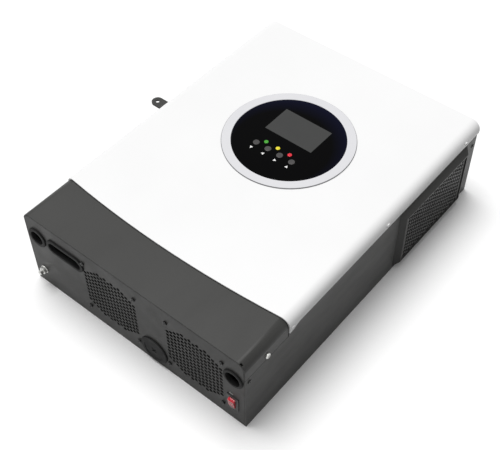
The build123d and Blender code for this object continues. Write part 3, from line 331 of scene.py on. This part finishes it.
def circuit_board(name):
    """Green solder mask over copper tracks."""
    board = Shader(name, specular_ior_level=0.5, coat_weight=0.3, coat_roughness=0.2)
    tracks = board.add("ShaderNodeTexBrick", offset=0.5)
    tracks.inputs["Scale"].default_value = 90
    tracks.inputs["Color1"].default_value = (0.012, 0.1, 0.035, 1)
    tracks.inputs["Color2"].default_value = (0.016, 0.13, 0.045, 1)
    tracks.inputs["Mortar"].default_value = (0.03, 0.19, 0.07, 1)
    board.link(board.place, tracks.inputs["Vector"])
    board.colour(tracks.outputs["Color"])
    board.roughness(board.remap(board.noise(200), 0.3, 0.45))
    board.bump(tracks.outputs["Fac"], 0.3, 0.00005)
    return board.material


def bare_metal(name, colour, low, high):
    """Drawn or extruded metal with lengthwise lines."""
    metal = Shader(name, metallic=1.0)
    lines = metal.noise(1400, 3, 0.55, metal.mapped((1, 0.04, 1)))
    metal.colour(metal.ramp(lines, [(0.3, shade(colour, 0.85)), (0.7, shade(colour, 1.08))]))
    metal.roughness(metal.remap(lines, low, high))
    metal.bump(lines, 0.12, 0.00004)
    return metal.material


def wound_copper(name):
    """Enamelled copper wire wound side by side, with painted shade in the grooves between turns and painted
    highlights along their crests.
    """
    wire = Shader(name, metallic=0.8)
    turns = wire.add("ShaderNodeTexWave", wave_type="BANDS", bands_direction="Z", wave_profile="SIN")
    turns.inputs["Scale"].default_value = 180
    turns.inputs["Distortion"].default_value = 0.4
    wire.link(wire.place, turns.inputs["Vector"])
    # Painted shade and highlight: dark copper between the turns, bright copper on their crests.
    stops = [(0.0, (0.12, 0.035, 0.012, 1)), (1.0, (0.6, 0.22, 0.08, 1))]
    wire.colour(wire.ramp(turns.outputs["Fac"], stops))
    wire.roughness(wire.remap(wire.noise(400), 0.25, 0.4))
    wire.bump(turns.outputs["Fac"], 0.6, 0.0004)
    return wire.material


def printed_ink(name, colour=(0.85, 0.85, 0.84, 1)):
    """Screen-printed ink with slightly uneven cover."""
    ink = Shader(name, specular_ior_level=0.3)
    cover = ink.noise(2400, 3, 0.6)
    ink.colour(ink.ramp(cover, [(0.3, shade(colour, 0.86)), (0.6, colour)]))
    ink.roughness(ink.remap(cover, 0.45, 0.6))
    ink.bump(cover, 0.1, 0.00002)
    return ink.material


# ---------------------------------------------------------------- mesh helpers


def dress(names, material):
    """Gives CAD nodes one finish."""
    for name in names:
        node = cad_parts[name]
        node.data.materials.clear()
        node.data.materials.append(material)


def soften(names, width, segments=2, angle=40):
    """Breaks the sharp edges of CAD nodes with a small rounded bevel."""
    for name in names:
        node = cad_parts[name]
        weld = node.modifiers.new("weld", "WELD")
        weld.merge_threshold = WELD
        bevel = node.modifiers.new("bevel", "BEVEL")
        bevel.width = width
        bevel.segments = segments
        bevel.limit_method = "ANGLE"
        bevel.angle_limit = math.radians(angle)
        bevel.harden_normals = True
        bevel.use_clamp_overlap = True


def new_piece(name, form, body, material):
    """Turns a bmesh into an object that rides on a body."""
    mesh = bpy.data.meshes.new(name)
    bmesh.ops.recalc_face_normals(form, faces=form.faces)
    form.to_mesh(mesh)
    form.free()
    piece = bpy.data.objects.new(name, mesh)
    bpy.context.scene.collection.objects.link(piece)
    mesh.materials.append(material)
    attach(piece, body)
    return piece


def printed_triangle(name, place, size, thickness, material):
    """Arrow head printed on a face; place maps its X to the way it points."""
    form = bmesh.new()
    bmesh.ops.create_circle(form, cap_ends=True, segments=3, radius=size)
    bmesh.ops.rotate(form, verts=form.verts, matrix=Matrix.Rotation(-math.pi / 2, 3, "Z"))
    flat = bmesh.ops.extrude_face_region(form, geom=form.faces[:])
    lifted = [item for item in flat["geom"] if isinstance(item, bmesh.types.BMVert)]
    bmesh.ops.translate(form, verts=lifted, vec=(0, 0, thickness))
    bmesh.ops.transform(form, verts=form.verts, matrix=place)
    return new_piece(name, form, "housing", material)


def printed_word(name, word, place, height, thickness, material):
    """A control word, made a mesh before it is placed."""
    curve = bpy.data.curves.new(name, "FONT")
    curve.body = word
    curve.size = height
    curve.align_x = "CENTER"
    curve.align_y = "CENTER"
    curve.extrude = thickness
    writer = bpy.data.objects.new(name + "_curve", curve)
    bpy.context.scene.collection.objects.link(writer)
    bpy.context.view_layer.update()
    mesh = bpy.data.meshes.new_from_object(writer)
    bpy.data.objects.remove(writer)
    form = bmesh.new()
    form.from_mesh(mesh)
    bpy.data.meshes.remove(mesh)
    bmesh.ops.remove_doubles(form, verts=form.verts, dist=0.001 * MM)
    bmesh.ops.transform(form, verts=form.verts, matrix=place)
    return new_piece(name, form, "housing", material)


def middle(name):
    low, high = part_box(name)
    return (low + high) / 2


# ---------------------------------------------------------------- settings


class InverterFinishes(bpy.types.PropertyGroup):
    housing_colour: FloatVectorProperty(
        name="Housing colour",
        description="Powder coat of the tray, terminal cover and end panels",
        subtype="COLOR",
        size=4,
        default=(0.034, 0.034, 0.0325, 1),
    )
    cover_colour: FloatVectorProperty(
        name="Cover colour",
        description="Enamel of the front cover",
        subtype="COLOR",
        size=4,
        default=(0.83, 0.83, 0.83, 1),
    )
    band_colour: FloatVectorProperty(
        name="Bezel band colour",
        description="Wide band of the control panel's bezel",
        subtype="COLOR",
        size=4,
        default=(0.67, 0.67, 0.69, 1),
    )
    rocker_colour: FloatVectorProperty(
        name="Rocker colour",
        description="Plastic of the power rocker",
        subtype="COLOR",
        size=4,
        default=(0.72, 0.008, 0.03, 1),
    )
    edge_radius: FloatProperty(
        name="Edge radius",
        description="Rounding of sheet-metal edges",
        unit="LENGTH",
        default=0.35 * MM,
    )
    mark_height: FloatProperty(
        name="Mark height",
        description="Height of the printed control words",
        unit="LENGTH",
        default=3.0 * MM,
    )


class InverterStageSettings(bpy.types.PropertyGroup):
    lens: FloatProperty(
        name="Lens",
        description="Focal length of the camera on a 36 mm wide sensor, in millimetres",
        default=68.3,
    )
    camera_place: FloatVectorProperty(
        name="Camera place",
        description="Where the camera stands in the unit's frame",
        subtype="TRANSLATION",
        unit="LENGTH",
        size=3,
        default=(0.4506, -0.5572, 0.8425),
    )
    camera_aim: FloatVectorProperty(
        name="Camera direction",
        description="The way the camera looks",
        subtype="DIRECTION",
        size=3,
        default=(-0.4184, 0.5005, -0.7579),
    )
    camera_roll: FloatProperty(
        name="Camera roll",
        description="Turn of the camera about the way it looks",
        subtype="ANGLE",
        default=math.radians(-0.636),
    )
    key_strength: FloatProperty(
        name="Key light",
        description="Strength of the broad soft light above the unit",
        default=2.6,
    )
    world_level: FloatProperty(
        name="Room light",
        description="Level of the even light all round",
        default=0.35,
    )
    floor_bounce: FloatProperty(
        name="Floor bounce",
        description="How much of its light the floor throws back onto the unit",
        default=0.22,
    )


# ---------------------------------------------------------------- operators


class INVERTER_OT_housing(bpy.types.Operator):
    """Powder coat on the tray, end panels, terminal cover and side lug"""

    bl_idname = "inverter.housing"
    bl_label = "Housing"

    def execute(self, context):
        finishes = context.scene.inverter_finishes
        dress(HOUSING, powder_coat("housing_powder_coat", tuple(finishes.housing_colour)))
        soften(("chassis_tray", "far_end_panel", "side_lug"), finishes.edge_radius)
        soften(("terminal_cover",), 2 * finishes.edge_radius)
        return {"FINISHED"}


class INVERTER_OT_front_cover(bpy.types.Operator):
    """Pale enamel on the front cover and its screws"""

    bl_idname = "inverter.front_cover"
    bl_label = "Front cover"

    def execute(self, context):
        finishes = context.scene.inverter_finishes
        painted = ("front_cover", "front_cover_screws")
        dress(painted, smooth_enamel("cover_enamel", tuple(finishes.cover_colour)))
        return {"FINISHED"}


class INVERTER_OT_control_panel(bpy.types.Operator):
    """Bezel, lens, display, lamps and buttons, with an arrow printed under each button"""

    bl_idname = "inverter.control_panel"
    bl_label = "Control panel"

    def execute(self, context):
        finishes = context.scene.inverter_finishes
        centre = middle("display_bezel")
        bezel_low, bezel_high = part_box("display_bezel")
        lens_low, lens_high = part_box("display_lens")
        outer = (bezel_high.x - bezel_low.x) / 2
        inner = (lens_high.x - lens_low.x) / 2
        band = tuple(finishes.band_colour)
        dress(("display_bezel",), ring_plastic("bezel_rings", centre, outer, inner, band))
        dress(("display_lens",), glossy_lens("black_acrylic", centre, inner))
        dress(("lcd_module",), display_glass("display_polariser"))
        for name, colour in LED_COLOURS.items():
            dress((name,), lamp_lens(name + "_lens", colour))
        dress(BUTTONS, moulded_plastic("button_plastic", (0.024, 0.022, 0.022, 1), 0.3, 0.42))
        dress(("control_board",), circuit_board("control_solder_mask"))
        soften(("display_lens",), 0.2 * MM)
        soften(BUTTONS, 0.15 * MM)
        self.print_arrows(lens_high.z)
        return {"FINISHED"}

    def print_arrows(self, surface_z):
        """Arrows under the four buttons, pointing down, left, right and up."""
        ink = printed_ink("panel_ink")
        turns = (math.pi / 2, 0, math.pi, -math.pi / 2)
        for name, turn in zip(BUTTONS, turns):
            low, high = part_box(name)
            x, y = (low.x + high.x) / 2, low.y - ARROW_DROP
            place = Matrix.Translation((x, y, surface_z)) @ Matrix.Rotation(turn + math.pi, 4, "Z")
            printed_triangle(name + "_arrow", place, ARROW_SIZE, INK_THICKNESS, ink)


class INVERTER_OT_terminal_end(bpy.types.Operator):
    """Grommets, power rocker with its ON and OFF words, and the earth stud"""

    bl_idname = "inverter.terminal_end"
    bl_label = "Terminal end"

    def execute(self, context):
        finishes = context.scene.inverter_finishes
        dress(GROMMETS, moulded_rubber("grommet_rubber"))
        dress(("switch_housing",), moulded_plastic("switch_black", (0.02, 0.02, 0.02, 1)))
        rocker = tuple(finishes.rocker_colour)
        dress(("switch_rocker",), moulded_plastic("rocker_red", rocker, 0.12, 0.2, 900))
        soften(("switch_rocker",), 0.5 * MM, 3)
        soften(("switch_housing",), 0.2 * MM)
        dress(("earth_stud", "earth_nut"), plated_zinc("earth_zinc"))
        soften(("earth_nut",), 0.15 * MM)
        self.print_words(finishes.mark_height)
        return {"FINISHED"}

    def print_words(self, height):
        low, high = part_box("switch_housing")
        face_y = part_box("terminal_end_panel")[0].y
        stand = Matrix.Rotation(math.pi / 2, 4, "X")
        ink = printed_ink("switch_ink")
        centre_x = (low.x + high.x) / 2 - WORD_SHIFT
        stand_off = WORD_STAND * height
        for word, z in (("ON", high.z + stand_off), ("OFF", low.z - stand_off)):
            place = Matrix.Translation((centre_x, face_y, z)) @ stand
            printed_word("word_" + word.lower(), word, place, height, WORD_THICKNESS, ink)


class INVERTER_OT_side_vents(bpy.types.Operator):
    """Raised vent covers with their meshes and dust filters"""

    bl_idname = "inverter.side_vents"
    bl_label = "Side vents"

    def execute(self, context):
        finishes = context.scene.inverter_finishes
        dress(VENT_SHEETS, powder_coat("vent_powder_coat", tuple(finishes.housing_colour)))
        soften(("vent_frame_left", "vent_frame_right"), finishes.edge_radius)
        dress(FILTERS, filter_foam("filter_foam"))
        return {"FINISHED"}


class INVERTER_OT_fans(bpy.types.Operator):
    """Fan frames and rotors with their leads"""

    bl_idname = "inverter.fans"
    bl_label = "Fans"

    def execute(self, context):
        dress(FAN_PLASTIC, moulded_plastic("fan_plastic", (0.02, 0.02, 0.02, 1), 0.4, 0.55))
        dress(("fan_leads",), moulded_rubber("lead_jacket"))
        return {"FINISHED"}


class INVERTER_OT_electronics(bpy.types.Operator):
    """Boards, heatsinks and everything that stands on the main board"""

    bl_idname = "inverter.electronics"
    bl_label = "Electronics"

    def execute(self, context):
        dress(("main_board",), circuit_board("main_solder_mask"))
        aluminium = bare_metal("extruded_aluminium", (0.6, 0.61, 0.62, 1), 0.3, 0.45)
        dress(("heatsink_left", "heatsink_right"), aluminium)
        dress(COPPER, wound_copper("wound_copper"))
        dress(("transformer_core",), moulded_plastic("ferrite", (0.05, 0.05, 0.05, 1), 0.5, 0.7, 800))
        dress(("power_transistors", "battery_fuses"), moulded_plastic("black_epoxy", (0.02, 0.02, 0.02, 1)))
        dress(("bus_capacitors",), moulded_plastic("capacitor_sleeve", (0.02, 0.03, 0.09, 1), 0.2, 0.3))
        dress(("relays",), moulded_plastic("relay_case", (0.02, 0.09, 0.3, 1)))
        blocks = ("ac_terminal_block", "pv_terminal_block")
        dress(blocks, moulded_plastic("terminal_green", (0.03, 0.22, 0.09, 1)))
        dress(("comm_sockets",), bare_metal("socket_shield", (0.6, 0.6, 0.58, 1), 0.25, 0.4))
        dress(("ribbon_cable",), moulded_plastic("ribbon_grey", (0.3, 0.3, 0.31, 1), 0.45, 0.6))
        return {"FINISHED"}


class INVERTER_OT_fasteners(bpy.types.Operator):
    """Black and bright screws, standoffs and posts"""

    bl_idname = "inverter.fasteners"
    bl_label = "Fasteners"

    def execute(self, context):
        dress(DARK_SCREWS, plated_zinc("black_zinc", (0.035, 0.035, 0.035, 1)))
        dress(ZINC_SCREWS, plated_zinc("bright_zinc"))
        soften(("terminal_cover_screws",), 0.15 * MM)
        return {"FINISHED"}


class INVERTER_OT_stage(bpy.types.Operator):
    """Floor, soft light and camera"""

    bl_idname = "inverter.stage"
    bl_label = "Stage"

    def execute(self, context):
        stage = context.scene.inverter_stage
        context.scene.view_settings.view_transform = "Standard"
        self.lay_floor(stage.floor_bounce)
        self.light_room(context.scene, stage.world_level)
        self.hang_light(KEY_PLACE, stage.key_strength)
        self.set_camera(context.scene, stage)
        return {"FINISHED"}

    def lay_floor(self, bounce):
        """Pale floor that keeps the unit's shadow and reads white to the camera."""
        form = bmesh.new()
        bmesh.ops.create_grid(form, x_segments=1, y_segments=1, size=FLOOR_HALF)
        mesh = bpy.data.meshes.new("floor")
        form.to_mesh(mesh)
        form.free()
        floor = bpy.data.objects.new("floor", mesh)
        bpy.context.scene.collection.objects.link(floor)
        paper = Shader("floor_paper", roughness=0.9, specular_ior_level=0.1)
        seen_paper = paper.ramp(paper.noise(3, 3), [(0.3, shade(PAPER_WHITE, 0.97)), (0.7, PAPER_WHITE)])
        path = paper.add("ShaderNodeLightPath")
        mirrored = paper.math("MAXIMUM", path.outputs["Is Glossy Ray"], path.outputs["Is Transmission Ray"])
        direct = paper.math("MAXIMUM", path.outputs["Is Camera Ray"], mirrored)
        paper.colour(paper.mix(direct, (bounce, bounce, bounce, 1), seen_paper))
        mesh.materials.append(paper.material)

    def light_room(self, scene, level):
        """Even room light; the camera, mirrors and glass see a white room."""
        world = bpy.data.worlds.new("room")
        scene.world = world
        world.use_nodes = True
        tree = world.node_tree
        tree.nodes.clear()
        path = tree.nodes.new("ShaderNodeLightPath")
        seen = path.outputs["Is Camera Ray"]
        for ray in ("Is Transmission Ray", "Is Glossy Ray"):
            either = tree.nodes.new("ShaderNodeMath")
            either.operation = "MAXIMUM"
            tree.links.new(seen, either.inputs[0])
            tree.links.new(path.outputs[ray], either.inputs[1])
            seen = either.outputs[0]
        blend = tree.nodes.new("ShaderNodeMixShader")
        output = tree.nodes.new("ShaderNodeOutputWorld")
        tree.links.new(seen, blend.inputs["Fac"])
        for socket, strength in ((1, level), (2, 1.0)):
            light = tree.nodes.new("ShaderNodeBackground")
            light.inputs["Color"].default_value = PAPER_WHITE
            light.inputs["Strength"].default_value = strength
            tree.links.new(light.outputs[0], blend.inputs[socket])
        tree.links.new(blend.outputs[0], output.inputs["Surface"])

    def hang_light(self, place, strength):
        """Broad soft light, even over the whole floor."""
        lamp = bpy.data.lights.new("key_light", "SUN")
        lamp.angle = math.radians(KEY_SPREAD)
        lamp.energy = strength
        holder = bpy.data.objects.new("key_light", lamp)
        holder.location = place
        holder.rotation_euler = (-Vector(place)).to_track_quat("-Z", "Y").to_euler()
        bpy.context.scene.collection.objects.link(holder)

    def set_camera(self, scene, stage):
        data = bpy.data.cameras.new("camera")
        data.sensor_fit = "HORIZONTAL"
        data.sensor_width = 36
        data.lens = stage.lens
        holder = bpy.data.objects.new("camera", data)
        holder.location = stage.camera_place
        aim = Vector(stage.camera_aim)
        turn = Matrix.Rotation(stage.camera_roll, 3, "Z")
        holder.rotation_euler = (aim.to_track_quat("-Z", "Y").to_matrix() @ turn).to_euler()
        scene.collection.objects.link(holder)
        scene.camera = holder


STEPS = (
    INVERTER_OT_housing,
    INVERTER_OT_front_cover,
    INVERTER_OT_control_panel,
    INVERTER_OT_terminal_end,
    INVERTER_OT_side_vents,
    INVERTER_OT_fans,
    INVERTER_OT_electronics,
    INVERTER_OT_fasteners,
    INVERTER_OT_stage,
)


class INVERTER_PT_steps(bpy.types.Panel):
    """Lists the steps that dress the inverter"""

    bl_label = "Inverter"
    bl_idname = "INVERTER_PT_steps"
    bl_space_type = "VIEW_3D"
    bl_region_type = "UI"
    bl_category = "Inverter"

    def draw(self, context):
        for step in STEPS:
            self.layout.operator(step.bl_idname)


CLASSES = (InverterFinishes, InverterStageSettings, *STEPS, INVERTER_PT_steps)


def register():
    for each in CLASSES:
        bpy.utils.register_class(each)
    bpy.types.Scene.inverter_finishes = PointerProperty(type=InverterFinishes)
    bpy.types.Scene.inverter_stage = PointerProperty(type=InverterStageSettings)


def unregister():
    del bpy.types.Scene.inverter_finishes
    del bpy.types.Scene.inverter_stage
    for each in reversed(CLASSES):
        bpy.utils.unregister_class(each)


def main():
    register()
    for step in STEPS:
        group, name = step.bl_idname.split(".")
        getattr(getattr(bpy.ops, group), name)()


if __name__ == "__main__":
    main()
